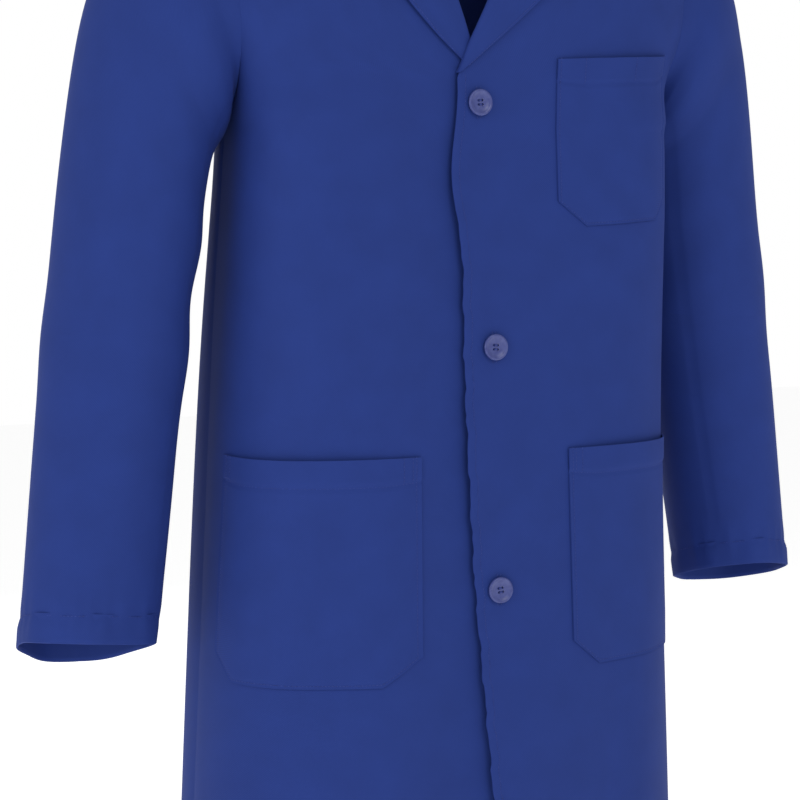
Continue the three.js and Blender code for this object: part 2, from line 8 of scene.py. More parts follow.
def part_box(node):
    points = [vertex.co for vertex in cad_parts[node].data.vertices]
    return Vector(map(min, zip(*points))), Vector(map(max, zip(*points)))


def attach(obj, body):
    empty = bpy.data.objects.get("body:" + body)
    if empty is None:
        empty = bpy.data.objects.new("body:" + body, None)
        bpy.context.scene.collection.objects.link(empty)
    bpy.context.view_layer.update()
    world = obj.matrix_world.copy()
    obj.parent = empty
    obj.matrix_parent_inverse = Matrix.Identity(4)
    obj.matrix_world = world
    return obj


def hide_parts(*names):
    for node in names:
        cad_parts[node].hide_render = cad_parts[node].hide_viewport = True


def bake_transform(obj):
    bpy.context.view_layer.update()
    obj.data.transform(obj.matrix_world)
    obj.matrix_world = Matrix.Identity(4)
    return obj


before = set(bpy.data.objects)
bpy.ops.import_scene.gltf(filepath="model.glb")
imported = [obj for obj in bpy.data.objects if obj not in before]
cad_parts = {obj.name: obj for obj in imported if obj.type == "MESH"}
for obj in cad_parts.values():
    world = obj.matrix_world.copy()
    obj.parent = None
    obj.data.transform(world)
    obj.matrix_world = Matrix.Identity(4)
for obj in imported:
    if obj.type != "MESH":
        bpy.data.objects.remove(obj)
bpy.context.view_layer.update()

scene = bpy.context.scene
scene.view_settings.view_transform = "Standard"


# Camera: it looks up and down the coat from the wearer's right
view = {"azimuth": -26.0, "distance": 1.80, "height": -0.330, "aim": -0.507, "aside": -0.025, "lens": 91.5}


def addCamera():
    turn = radians(view["azimuth"])
    right = Vector((cos(turn), sin(turn), 0))
    back = Vector((sin(turn), -cos(turn), 0))
    target = right * view["aside"] + Vector((0, 0, view["aim"]))
    place = right * view["aside"] + back * view["distance"] + Vector((0, 0, view["height"]))
    data = bpy.data.cameras.new("camera")
    data.lens = view["lens"]
    data.sensor_width = 36
    camera = bpy.data.objects.new("camera", data)
    aimed = (target - place).to_track_quat("-Z", "Y").to_matrix().to_4x4()
    camera.matrix_world = Matrix.Translation(place) @ aimed
    scene.collection.objects.link(camera)
    scene.camera = camera


addCamera()
print("camera placed")


# Materials

def addNode(tree, kind, settings=None, links=None):
    node = tree.nodes.new(kind)
    for key, value in (settings or {}).items():
        if key in node.inputs:
            node.inputs[key].default_value = value
        else:
            setattr(node, key, value)
    for key, source in (links or {}).items():
        tree.links.new(source, node.inputs[key])
    return node


def linear(hexColour):
    parts = [int(hexColour[i:i + 2], 16) / 255 for i in (1, 3, 5)]
    return [c / 12.92 if c <= 0.04045 else ((c + 0.055) / 1.055) ** 2.4 for c in parts] + [1.0]


twill = {
    "face": "#253b85",      # dyed royal blue, where light falls straight on it
    "shade": "#213579",
    # inside: the coat's own cloth drawn darker for its inner surfaces, painted shade
    "inside": "#18265c",
    "ribSpacing": 0.0013,   # real twill lines are 0.6 mm apart: drawn coarser so that they show
    "mottleSize": 0.035,
    "fibreSize": 0.0011,
    "creaseSize": 0.055,
    "roughness": 0.78,
}


def woven(name, high, low, relief=1.0):
    # polyester and cotton twill, woven and piece-dyed: matt, a faint sheen from its brushed fibres
    material = bpy.data.materials.new(name)
    material.use_nodes = True
    tree = material.node_tree
    shader = tree.nodes["Principled BSDF"]
    place = addNode(tree, "ShaderNodeUVMap", {"uv_map": "cut"}).outputs["UV"]
    ribs = addNode(tree, "ShaderNodeTexWave", {
        "bands_direction": "DIAGONAL", "Scale": 2 * pi / 10 / 2 ** 0.5 / twill["ribSpacing"],
        "Distortion": 0.6, "Detail": 1.0, "Detail Scale": 2.0}, {"Vector": place})
    fibre = addNode(tree, "ShaderNodeTexNoise", {"Scale": 1 / twill["fibreSize"], "Detail": 2.0},
                    {"Vector": place})
    mottle = addNode(tree, "ShaderNodeTexNoise", {"Scale": 1 / twill["mottleSize"], "Detail": 3.0},
                     {"Vector": place})
    crease = addNode(tree, "ShaderNodeTexNoise", {
        "Scale": 1 / twill["creaseSize"], "Detail": 3.0, "Distortion": 0.8}, {"Vector": place})
    weave = addNode(tree, "ShaderNodeMix", {"Factor": 0.35},
                    {2: ribs.outputs["Fac"], 3: fibre.outputs["Fac"]})
    tone = addNode(tree, "ShaderNodeMix", {"Factor": 0.45},
                   {2: mottle.outputs["Fac"], 3: weave.outputs[0]})
    ramp = addNode(tree, "ShaderNodeValToRGB", {}, {"Fac": tone.outputs[0]})
    ramp.color_ramp.elements[0].position = 0.25
    ramp.color_ramp.elements[0].color = linear(low)
    ramp.color_ramp.elements[1].position = 0.75
    ramp.color_ramp.elements[1].color = linear(high)
    tree.links.new(ramp.outputs["Color"], shader.inputs["Base Color"])
    soft = addNode(tree, "ShaderNodeBump", {"Strength": 0.22 * relief, "Distance": 0.0020},
                   {"Height": crease.outputs["Fac"]})
    fine = addNode(tree, "ShaderNodeBump", {"Strength": 0.20 * relief, "Distance": 0.00020},
                   {"Height": weave.outputs[0], "Normal": soft.outputs["Normal"]})
    tree.links.new(fine.outputs["Normal"], shader.inputs["Normal"])
    shader.inputs["Roughness"].default_value = twill["roughness"]
    shader.inputs["Specular IOR Level"].default_value = 0.18
    shader.inputs["Sheen Weight"].default_value = 0.06
    shader.inputs["Sheen Roughness"].default_value = 0.45
    shader.inputs["Sheen Tint"].default_value = linear("#7f8fd8")
    return material


def castPolyester():
    # polyester button blank, cast in sheet, turned and tumbled: satin, faintly clouded like horn
    material = bpy.data.materials.new("castPolyester")
    material.use_nodes = True
    tree = material.node_tree
    shader = tree.nodes["Principled BSDF"]
    place = addNode(tree, "ShaderNodeTexCoord").outputs["Object"]
    cloud = addNode(tree, "ShaderNodeTexNoise", {"Scale": 160.0, "Detail": 3.0, "Distortion": 1.2},
                    {"Vector": place})
    ramp = addNode(tree, "ShaderNodeValToRGB", {}, {"Fac": cloud.outputs["Fac"]})
    ramp.color_ramp.elements[0].position = 0.3
    ramp.color_ramp.elements[0].color = linear("#363f80")
    ramp.color_ramp.elements[1].position = 0.7
    ramp.color_ramp.elements[1].color = linear("#48528f")
    tree.links.new(ramp.outputs["Color"], shader.inputs["Base Color"])
    grain = addNode(tree, "ShaderNodeBump", {"Strength": 0.08, "Distance": 0.0001},
                    {"Height": cloud.outputs["Fac"]})
    tree.links.new(grain.outputs["Normal"], shader.inputs["Normal"])
    shader.inputs["Roughness"].default_value = 0.34
    shader.inputs["IOR"].default_value = 1.54
    return material


def spunPolyester():
    # spun polyester sewing thread, two strands twisted: matt with a fine slant
    material = bpy.data.materials.new("spunPolyester")
    material.use_nodes = True
    tree = material.node_tree
    shader = tree.nodes["Principled BSDF"]
    place = addNode(tree, "ShaderNodeTexCoord").outputs["Object"]
    strand = addNode(tree, "ShaderNodeTexWave", {"bands_direction": "DIAGONAL", "Scale": 500.0},
                     {"Vector": place})
    ramp = addNode(tree, "ShaderNodeValToRGB", {}, {"Fac": strand.outputs["Fac"]})
    ramp.color_ramp.elements[0].color = linear("#1f2c6c")
    ramp.color_ramp.elements[1].color = linear("#32469a")
    tree.links.new(ramp.outputs["Color"], shader.inputs["Base Color"])
    shader.inputs["Roughness"].default_value = 0.7
    return material


coatTwill = woven("coatTwill", twill["face"], twill["shade"])
# a darker copy of the coat's cloth for the neck facing and hanger loop: painted shade on the same fabric
paintedShadeTwill = woven("paintedShadeTwill", twill["shade"], twill["inside"], 0.7)
buttonResin = castPolyester()
sewingThread = spunPolyester()
print("materials made")


# The coat's shape: the same surface as the frame's panels, in metres, worked out on arrays
coat = {
    "hem": float(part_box("left_front")[0][2]),
    "armpit": -0.270, "shoulder": -0.072, "neck": -0.018, "breakZ": -0.226, "gorge": -0.076,
    "chestHalf": 0.196, "hemHalf": 0.236, "shoulderHalf": 0.224, "neckHalf": 0.078,
    "neckBack": 0.062, "chestPower": 3.2, "hemPower": 2.4,
    "armholeDepth": 0.078, "armholeBlend": 0.080, "chestRound": 0.190, "chestForward": 0.009,
}
frontFace = {
    "sign": -1, "top": 0.110, "hem": 0.154, "square": 1.6, "rise": 0.0, "fold": 0.0022, "phase": 0.4,
}
backFace = {
    "sign": 1, "top": 0.092, "hem": 0.134, "square": -0.7, "rise": 0.035, "fold": 0.0040, "phase": 2.1,
}
cloth = 0.0006  # thickness of one layer


def mix(a, b, t):
    return a + (b - a) * t


def ease(t):
    t = np.clip(t, 0, 1)
    return t * t * (3 - 2 * t)


def quarterRound(t):
    return np.sqrt(np.maximum(0, 1 - (1 - np.clip(t, 0, 1)) ** 2))


def halfWidth(z):
    up = (z - coat["armpit"]) / (coat["shoulder"] - coat["armpit"])
    down = (coat["armpit"] - z) / (coat["armpit"] - coat["hem"])
    return np.where(z > coat["armpit"], mix(coat["chestHalf"], coat["shoulderHalf"], up),
                    mix(coat["chestHalf"], coat["hemHalf"], down))


def sectionPower(z):
    down = np.clip((coat["armpit"] - z) / (coat["armpit"] - coat["hem"]), 0, 1)
    return mix(coat["chestPower"], coat["hemPower"], down)


def ridgeHeight(face, x):
    neck = coat["neckHalf"]
    slope = (coat["neck"] - coat["shoulder"]) / (coat["shoulderHalf"] - neck)
    reach = np.abs(x)
    rounded = np.where(reach > neck, reach, (neck + reach ** 2 / neck) / 2)
    towardsNeck = 1 - np.minimum(1, reach / neck) ** 2
    return coat["shoulder"] + slope * (coat["shoulderHalf"] - rounded) + face["rise"] * towardsNeck


def roundHeight(x):
    armholeRound = (coat["shoulder"] - coat["armpit"]) / 2
    return mix(coat["chestRound"], armholeRound, np.minimum(1, np.abs(x) / coat["shoulderHalf"]) ** 2)


def armholeSide(z):
    # the armhole is closed at the armpit and opens out above it
    up = np.clip((z - coat["armpit"]) / ((coat["shoulder"] - coat["armpit"]) / 2), 0, 1)
    return coat["armholeDepth"] * np.sin(pi / 2 * up) ** 0.8


def sectionDepth(face, x, z):
    down = np.clip((coat["breakZ"] - z) / (coat["breakZ"] - coat["hem"]), 0, 1)
    centre = mix(face["top"], face["hem"], down)
    share = np.minimum(1, np.abs(x) / halfWidth(z))
    side = armholeSide(z)
    square = sectionPower(z) + face["square"] * np.exp(-((z - coat["armpit"]) / 0.20) ** 2)
    power = mix(1 / square, 1, ease((z - coat["armpit"]) / coat["armholeBlend"]))
    fullness = np.maximum(0, 1 - share ** square) ** power
    chest = coat["chestForward"] * np.exp(-((z - coat["armpit"]) / 0.11) ** 2) * share ** 2
    return side + (centre - side) * fullness - face["sign"] * chest


def clothFolds(face, x, z):
    # soft folds that deepen to the hem, and a slight drag from each armpit
    hang = ease((-0.30 - z) / 0.65)
    inside = 1 - np.minimum(1, np.abs(x) / halfWidth(z)) ** 6
    sway = np.sin(x / 0.0215 + 0.9 * np.sin(4.1 * z + 0.6) + face["phase"])
    ripple = np.sin(x / 0.0105 + 1.7 * np.sin(3.0 * z) + 2 * face["phase"])
    near = np.exp(-((np.abs(x) - 0.150) / 0.045) ** 2 - ((z + 0.335) / 0.085) ** 2)
    drag = np.sin((0.75 * np.abs(x) + z) / 0.0085)
    return inside * (face["fold"] * hang * (sway + 0.25 * ripple) + 0.0011 * near * drag)


def bodyDepth(face, x, z):
    shoulders = quarterRound((ridgeHeight(face, x) - z) / roundHeight(x))
    return (sectionDepth(face, x, z) + clothFolds(face, x, z)) * shoulders


def bodyPoints(face, x, z, lift=0.0):
    # points on the coat's outside, raised by lift along the outward direction
    step = 0.0004
    x, z, lift = np.broadcast_arrays(x, z, lift)
    depth = bodyDepth(face, x, z)
    slopeX = (bodyDepth(face, x + step, z) - bodyDepth(face, x - step, z)) / (2 * step)
    slopeZ = (bodyDepth(face, x, z + step) - bodyDepth(face, x, z - step)) / (2 * step)
    normal = np.stack([-slopeX, np.full_like(depth, face["sign"]), -slopeZ], axis=-1)
    normal /= np.linalg.norm(normal, axis=-1, keepdims=True)
    return np.stack([x, face["sign"] * depth, z], axis=-1) + normal * lift[..., None]


def xAtTurn(turn, z):
    sine = np.abs(np.sin(turn))
    return np.sign(turn) * halfWidth(z) * mix(sine, sine ** (2 / sectionPower(z)), sine ** 2)


def turnAt(x, z):
    x, z = np.broadcast_arrays(np.asarray(x, float), np.asarray(z, float))
    low, high = np.zeros_like(x), np.full_like(x, pi / 2)
    for _ in range(26):
        middle = (low + high) / 2
        short = xAtTurn(middle, z) < np.abs(x)
        low, high = np.where(short, middle, low), np.where(short, high, middle)
    return np.sign(x) * high


def shares(count, edge=0.0):
    # even steps from 0 to 1, with one narrow step at each end for a seam's dip
    even = np.linspace(0, 1, count + 1)
    return np.concatenate([[0, edge], even[1:-1], [1 - edge, 1]]) if edge else even


# Meshes

def finish(obj, material):
    obj.data.materials.clear()
    obj.data.materials.append(material)


def sheetMesh(name, grid, closed=False, outward=None):
    # a cloth sheet from rows of points, with a map of the flat cut in metres
    rows, columns = grid.shape[:2]
    across = columns if closed else columns - 1
    i, j = np.meshgrid(np.arange(rows - 1), np.arange(across), indexing="ij")
    k = (j + 1) % columns
    faces = np.stack([i * columns + j, i * columns + k, (i + 1) * columns + k, (i + 1) * columns + j], -1)
    faces = faces.reshape(-1, 4)
    points = grid.reshape(-1, 3)
    a, b, c = (points[faces[:, n]] for n in (0, 1, 3))
    normals = np.cross(b - a, c - a)
    hint = outward if outward is not None else a * np.array([1, 1, 0]) + np.array([0, 0, 0.04])
    flipped = np.sum(normals * hint) < 0
    if flipped:
        faces = faces[:, ::-1]
    mesh = bpy.data.meshes.new(name)
    mesh.from_pydata(points.tolist(), [], faces.tolist())
    stepU = np.linalg.norm(np.diff(grid, axis=1), axis=2).mean(axis=0)
    stepV = np.linalg.norm(np.diff(grid, axis=0), axis=2).mean(axis=1)
    u = np.concatenate([[0], np.cumsum(stepU)])
    v = np.concatenate([[0], np.cumsum(stepV)])
    u = np.append(u, u[-1] + (stepU[-1] if closed else 0))
    cornerU = np.stack([u[j], u[j + 1], u[j + 1], u[j]], -1).reshape(-1, 4)
    cornerV = np.stack([v[i], v[i], v[i + 1], v[i + 1]], -1).reshape(-1, 4)
    if flipped:
        cornerU, cornerV = cornerU[:, ::-1], cornerV[:, ::-1]
    layer = mesh.uv_layers.new(name="cut")
    layer.data.foreach_set("uv", np.stack([cornerU, cornerV], -1).ravel())
    mesh.polygons.foreach_set("use_smooth", [True] * len(mesh.polygons))
    mesh.update()
    obj = bpy.data.objects.new(name, mesh)
    scene.collection.objects.link(obj)
    return obj


def thicken(obj, thickness=cloth, offset=-1.0):
    # gives the sheet its thickness, with crisp raw edges so that panels that meet shade alike
    solid = obj.modifiers.new("clothThickness", "SOLIDIFY")
    solid.thickness = thickness
    solid.offset = offset
    solid.use_quality_normals = True
    evaluated = obj.evaluated_get(bpy.context.evaluated_depsgraph_get())
    thick = bpy.data.meshes.new_from_object(evaluated)
    obj.modifiers.clear()
    obj.data = thick
    thick.set_sharp_from_angle(angle=radians(55))


# Where the sleeve is cut at the elbow and where the back vent begins, named once here
elbow = {"cut": -0.436, "start": -0.441, "end": -0.570}
ventFold = {"top": -0.650, "hemX": 0.130, "reach": 0.036}


def place(obj, where):
    if where == "coat":
        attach(obj, "coat")
    elif where.endswith("Front"):
        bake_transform(obj)
    elif where == "vent":
        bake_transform(obj)
    elif where.endswith("Sleeve"):
        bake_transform(obj)
    elif where.endswith("Forearm"):
        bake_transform(obj)


# Fronts
frontCut = {
    "lap": 0.028, "facing": 0.070, "facingDrop": 0.004, "underRoll": -0.008,
    "spread": 0.030, "swing": 0.009, "edgeLift": 0.0032,
    "underSink": 0.0046, "sinkStart": 0.095, "stitchIn": 0.0065, "hemDepth": 0.022,
}


def frontEdge(side, z):
    # the buttoned edge falls away below the last button; above the break it is the roll line
    up = np.clip((z - coat["breakZ"]) / (coat["neck"] - coat["breakZ"]), 0, 1)
    if side < 0:
        roll = np.maximum(mix(frontCut["underRoll"], -coat["neckHalf"], up), -coat["neckHalf"])
        return np.where(up > 0, roll, frontCut["lap"])
    spread = frontCut["spread"] * ease((-0.48 - z) / 0.60)
    swing = frontCut["swing"] * np.exp(-((z + 0.310) / 0.045) ** 2)
    waver = 0.0007 * np.sin(z / 0.0071) + 0.0005 * np.sin(z / 0.0031 + 1)
    lower = spread - swing - frontCut["lap"] + waver * ease((-0.30 - z) / 0.1)
    return np.where(up > 0, mix(-frontCut["lap"], coat["neckHalf"], up), lower)


def frontLift(side, x, z):
    # the left front's edge stands a little proud between buttons; the right front sinks under it
    if side < 0:
        run = frontCut["sinkStart"] - frontCut["lap"]
        return -frontCut["underSink"] * ease((x + frontCut["sinkStart"]) / run)
    inset = np.abs(x - frontEdge(1, z))
    held = sum(np.exp(-((z - b) / 0.055) ** 2) for b in buttonHeights)
    below = ease((coat["breakZ"] - z) / 0.02)
    proud = frontCut["edgeLift"] * np.exp(-(inset / 0.020) ** 2) * (1 - 0.55 * np.clip(held, 0, 1))
    pucker = 0.00055 * np.sin(z / 0.0019 + 1.5 * np.sin(z / 0.013)) * np.exp(-(inset / 0.0065) ** 2)
    return below * (proud + pucker * ease((-0.40 - z) / 0.08))


buttonSpots = [[float(low + high) / 2 for low, high in zip(*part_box(f"button_{n}"))] for n in (1, 2, 3)]
buttonHeights = [spot[2] for spot in buttonSpots]


def frontPoints(side, x, z, lift=0.0):
    return bodyPoints(frontFace, x, z, lift + frontLift(side, x, z))


def upperRows(face, side, a, b, low, edgeOf, topOf):
    # grid above the break line, rounding over to the shoulder seam
    z = mix(low, coat["shoulder"], b)
    for _ in range(14):
        x = xAtTurn(mix(turnAt(edgeOf(z), z), side * pi / 2, a), z)
        rise = np.sqrt(np.maximum(0, ridgeHeight(face, x) - low) / roundHeight(x))
        z = ridgeHeight(face, x) - roundHeight(x) * mix(rise, topOf(x), b) ** 2
    return x, z


def seamDip(a, b=None, depth=0.0011):
    # a sewn edge turns in a little
    dip = -depth * np.exp(-((1 - a) / 0.008) ** 2)
    return dip if b is None else dip - depth * np.exp(-((1 - b) / 0.010) ** 2)


def buildFront(side, name):
    columns, lowRows, highRows = shares(54, 0.006), shares(150, 0.0), shares(34, 0.012)
    low = coat["breakZ"] - 0.004
    a, b = np.meshgrid(columns, lowRows)
    zLow = mix(coat["hem"], low, b)
    xLow = xAtTurn(mix(turnAt(frontEdge(side, zLow), zLow), side * pi / 2, a), zLow)
    aHigh, bHigh = np.meshgrid(columns, highRows[2:])
    xHigh, zHigh = upperRows(frontFace, side, aHigh, bHigh, low, lambda z: frontEdge(side, z),
                             lambda x: 0 * x)
    x, z = np.vstack([xLow, xHigh]), np.vstack([zLow, zHigh])
    a = np.vstack([a, aHigh])
    b = np.vstack([0 * b, bHigh])
    hem = coat["hem"] + frontCut["hemDepth"]
    hemGroove = -0.0005 * np.exp(-((z - hem) / 0.0025) ** 2)
    outer = frontPoints(side, x, z, seamDip(a, b) + hemGroove)
    # the facing is cut in one with the front and folds back inside it at the edge
    zEdge, reach = z[:, :1], shares(12)[None, ::-1]
    inward = frontEdge(side, zEdge) + side * frontCut["facing"] * reach
    zInner = np.minimum(zEdge, ridgeHeight(frontFace, inward) - frontCut["facingDrop"])
    inner = frontPoints(side, inward, zInner, -0.0014)
    turns = np.linspace(-pi / 2, pi / 2, 6)[1:-1]
    blendOut = np.sin(turns)[None, :, None]
    edge = outer[:, :1] * (1 + blendOut) / 2 + inner[:, -1:] * (1 - blendOut) / 2
    edge = edge + np.array([-side * 0.0007, 0, 0]) * np.cos(turns)[None, :, None]
    panel = sheetMesh(f"{name}FrontPanel", np.concatenate([inner, edge, outer], axis=1),
                      outward=np.array([0, -1.0, 0]))
    thicken(panel)
    finish(panel, coatTwill)
    nodes = [f"{name}_front", f"{name}_front_facing", f"{name}_front_side", f"{name}_front_upper"]
    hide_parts(*nodes, *(["left_front_placket"] if side > 0 else []))
    place(panel, f"{name}Front")


for side, name in ((1, "left"), (-1, "right")):
    buildFront(side, name)
print("fronts made")


# Lapels: the facing's top turned out along the roll line
lapelCut = {
    "tip": (0.125, -0.098), "roll": 0.0022,
    "start": {1: (-0.025, -0.224), -1: (0.020, -0.218)}, "belly": {1: 0.001, -1: 0.006},
}


def lapelPoints(side, a, b, lift):
    # a runs from the roll line to the outer edge, b from the break to the gorge
    z0 = mix(coat["breakZ"], coat["gorge"], b)
    x0 = side * frontEdge(side, z0)
    (startX, startZ), (tipX, tipZ) = lapelCut["start"][side], lapelCut["tip"]
    bow = lapelCut["belly"][side] * np.sin(pi * b) * a
    x = mix(x0, mix(startX, tipX, b), a) + bow
    z = mix(z0, mix(startZ, tipZ, b), a) - bow
    return frontPoints(side, side * x, z, lift)


def buildLapel(side, name):
    a, b = np.meshgrid(shares(16), shares(44))
    over = 0.0012 + 0.0022 * np.sin(pi * np.clip(a * 1.4, 0, 1)) * np.sin(pi * np.clip(b, 0.05, 1) * 0.6)
    outer = lapelPoints(side, a, b, over + 0.0012 * a)
    aIn, bIn = np.meshgrid(np.linspace(-0.10, 0, 4)[:-1], shares(44))
    inner = lapelPoints(side, np.abs(aIn), bIn, -0.0026)
    turns = np.linspace(-pi / 2, pi / 2, 7)[1:-1]
    blendIn = (1 + np.sin(turns))[None, :, None] / 2
    roll = outer[:, :1] * blendIn + inner[:, -1:] * (1 - blendIn)
    away = np.array([-0.89 * side, -0.1, 0.45]) * lapelCut["roll"]
    roll = roll + away * np.cos(turns)[None, :, None] * np.clip(b[:, :1, None] * 6, 0.15, 1)
    lapel = sheetMesh(f"{name}LapelFold", np.concatenate([inner, roll, outer], axis=1),
                      outward=np.array([0, -1.0, 0]))
    thicken(lapel, 0.0011, 1.0)
    finish(lapel, coatTwill)
    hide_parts(f"{name}_lapel")
    place(lapel, f"{name}Front")


buildLapel(1, "left")
buildLapel(-1, "right")
print("lapels made")


# Backs, with the vent and its underlap
backCut = {"ventLap": 0.040, "facingDrop": 0.070}


def neckRise(x):
    share = np.minimum(1, np.abs(x) / coat["neckHalf"])
    depth = coat["neckBack"] * np.sqrt(1 - share ** 2)
    section = sectionDepth(backFace, x, coat["shoulder"])
    return 1 - np.sqrt(np.maximum(0, 1 - (depth / section) ** 2))


def backEdge(side, z):
    # below the vent the left back runs past the centre, and the right back runs under it
    lap = np.where(z < ventFold["top"], backCut["ventLap"] * ease((ventFold["top"] - z) / 0.012), 0)
    return -side * (lap + 0.0003)


def buildBack(side, name):
    columns, lowRows, highRows = shares(50, 0.006), shares(150, 0.0), shares(34, 0.012)
    low = coat["breakZ"]
    a, b = np.meshgrid(columns, lowRows)
    zLow = mix(coat["hem"], low, b)
    xLow = xAtTurn(mix(turnAt(backEdge(side, zLow), zLow), side * pi / 2, a), zLow)
    aHigh, bHigh = np.meshgrid(columns, highRows[2:])
    xHigh, zHigh = upperRows(backFace, side, aHigh, bHigh, low, lambda z: backEdge(side, z),
                             lambda x: np.sqrt(neckRise(x)))
    x, z = np.vstack([xLow, xHigh]), np.vstack([zLow, zHigh])
    a, b = np.vstack([a, aHigh]), np.vstack([0 * b, bHigh])
    above = z > ventFold["top"]
    centreDip = np.where(above, seamDip(1 - a), 0)
    under = 0 if side > 0 else -0.0022 * ease((ventFold["top"] - z) / 0.02) * ease((x + 0.05) / 0.03)
    hemGroove = -0.0005 * np.exp(-((z - coat["hem"] - frontCut["hemDepth"]) / 0.0025) ** 2)
    lift = seamDip(a, b) + centreDip + under + hemGroove
    panel = sheetMesh(f"{name}BackPanel", bodyPoints(backFace, x, z, lift), outward=np.array([0, 1.0, 0]))
    thicken(panel)
    finish(panel, coatTwill)
    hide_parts(f"{name}_back", "back_vent_flap" if side > 0 else "back_vent_underlap")
    place(panel, "vent" if side > 0 else "coat")


buildBack(1, "left")
buildBack(-1, "right")
print("backs made")


# Collar: stand, fold and fall in one bent sheet, in three stretches
collarCut = {"stand": 0.034, "cover": 0.016, "spread": 0.122, "point": (0.116, -0.060), "lift": 0.0034}


def neckSeam(turn):
    side, share = np.sign(turn + 1e-12), np.abs(turn)
    angle = np.minimum(share, 0.5) * pi
    backX = side * coat["neckHalf"] * np.sin(angle)
    backZ = ridgeHeight(backFace, backX) - roundHeight(backX) * neckRise(backX)
    backY = bodyDepth(backFace, backX, backZ)
    z = mix(coat["neck"], coat["gorge"], np.clip((share - 0.5) * 2, 0, 1))
    rolled = side * frontEdge(1, z)
    front = np.stack([rolled, -bodyDepth(frontFace, rolled, z), z], -1)
    return np.where((share <= 0.5)[..., None], np.stack([backX, backY, backZ], -1), front)


def shoulderTop(x, y):
    front = y < 0
    tops = []
    for face in (frontFace, backFace):
        section = sectionDepth(face, x, coat["shoulder"])
        share = np.minimum(1, np.abs(y) / section)
        tops.append(ridgeHeight(face, x) - roundHeight(x) * (1 - np.sqrt(1 - share ** 2)))
    return np.where(front, tops[0], tops[1])


def collarPoints(turn, b):
    # b runs from the neck seam up the stand, over the fold and down the fall
    side, share = np.sign(turn + 1e-12), np.abs(turn)
    seam = neckSeam(turn)
    out = seam * np.array([1, 1, 0])
    out /= np.linalg.norm(out, axis=-1, keepdims=True)
    height = mix(collarCut["stand"], 0.003, ease(share))
    fold = seam + np.stack([0 * share, 0 * share, height], -1) - out * (0.006 * (1 - share))[..., None]
    angle = np.minimum(share, 0.5) * pi
    edgeX = side * collarCut["spread"] * np.sin(angle)
    edgeY = (coat["neckBack"] + collarCut["cover"]) * np.cos(angle)
    backEdgePoint = np.stack([edgeX, edgeY, shoulderTop(edgeX, edgeY)], -1)
    t = np.clip((share - 0.5) * 2, 0, 1)
    frontX = mix(collarCut["spread"], collarCut["point"][0], t)
    frontZ = mix(float(ridgeHeight(frontFace, collarCut["spread"])), collarCut["point"][1], t ** 2)
    frontEdgePoint = np.stack([side * frontX, -bodyDepth(frontFace, frontX, frontZ), frontZ], -1)
    edge = np.where((share <= 0.5)[..., None], backEdgePoint, frontEdgePoint)
    standPart, fallPart = np.clip(b / 0.36, 0, 1)[..., None], np.clip((b - 0.46) / 0.54, 0, 1)[..., None]
    rollTurn = np.clip((b - 0.36) / 0.10, 0, 1)[..., None] * pi
    inside = seam - out * 0.0026
    foldIn, foldOut = fold - out * 0.0016, fold + out * 0.0016
    stand = inside + (foldIn - inside) * standPart
    rolling = fold - out * 0.0016 * np.cos(rollTurn) + np.array([0, 0, 0.0016]) * np.sin(rollTurn)
    bulge = np.sin(pi * fallPart) * (0.008 * (1 - 0.6 * share))[..., None]
    fall = foldOut + (edge - foldOut) * fallPart + np.array([0, 0, 1.0]) * bulge
    gorge = np.clip(t * 3 - 2, 0, 1)[..., None] * np.sin(pi * np.clip(fallPart * 1.1, 0, 1))
    fall = fall - np.array([0, 0, 0.012]) * gorge
    result = np.where((b < 0.36)[..., None], stand, np.where((b < 0.46)[..., None], rolling, fall))
    floor = shoulderTop(result[..., 0], result[..., 1]) + collarCut["lift"]
    z = np.where((b > 0.5) & (result[..., 2] < floor), floor, result[..., 2])
    return np.concatenate([result[..., :2], z[..., None]], -1)


def buildCollar(name, start, end, steps, where, nodes):
    turn, b = np.meshgrid(np.linspace(start, end, steps), shares(46), indexing="ij")
    grid = collarPoints(turn, b)
    part = sheetMesh(name, grid, outward=None)
    thicken(part, 0.0012, -1.0)
    finish(part, coatTwill)
    if nodes:
        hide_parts(*nodes)
    place(part, where)


buildCollar("collarBack", -0.5, 0.5, 80, "coat", ["collar_fall", "collar_stand"])
buildCollar("leftCollarEnd", 0.5, 1.0, 34, "leftFront", [])
buildCollar("rightCollarEnd", -1.0, -0.5, 34, "rightFront", [])
print("collar made")


# Sleeves
sleeveCut = {
    "capOuter": 0.307, "capZ": -0.172, "elbowZ": -0.430, "elbowZone": 0.062, "underarm": 0.012,
    "elbowOuter": 0.348, "elbowInner": 0.225, "cuffOuter": 0.376, "cuffZ": -0.690,
    "halfDepth": 0.070, "cuffHalfDepth": 0.057,
    "cuffInner": {1: 0.274, -1: 0.262},
    "tilt": {1: (0.31, 0.31), -1: (0.20, 0.46)},  # front and back of each cuff
    "innerDrop": {1: -0.007, -1: 0.012},
    "forward": 0.007, "elbowBack": 0.010, "cuffForward": 0.007,
    "hem": 0.022, "frontSeam": 222, "backSeam": 100,
}


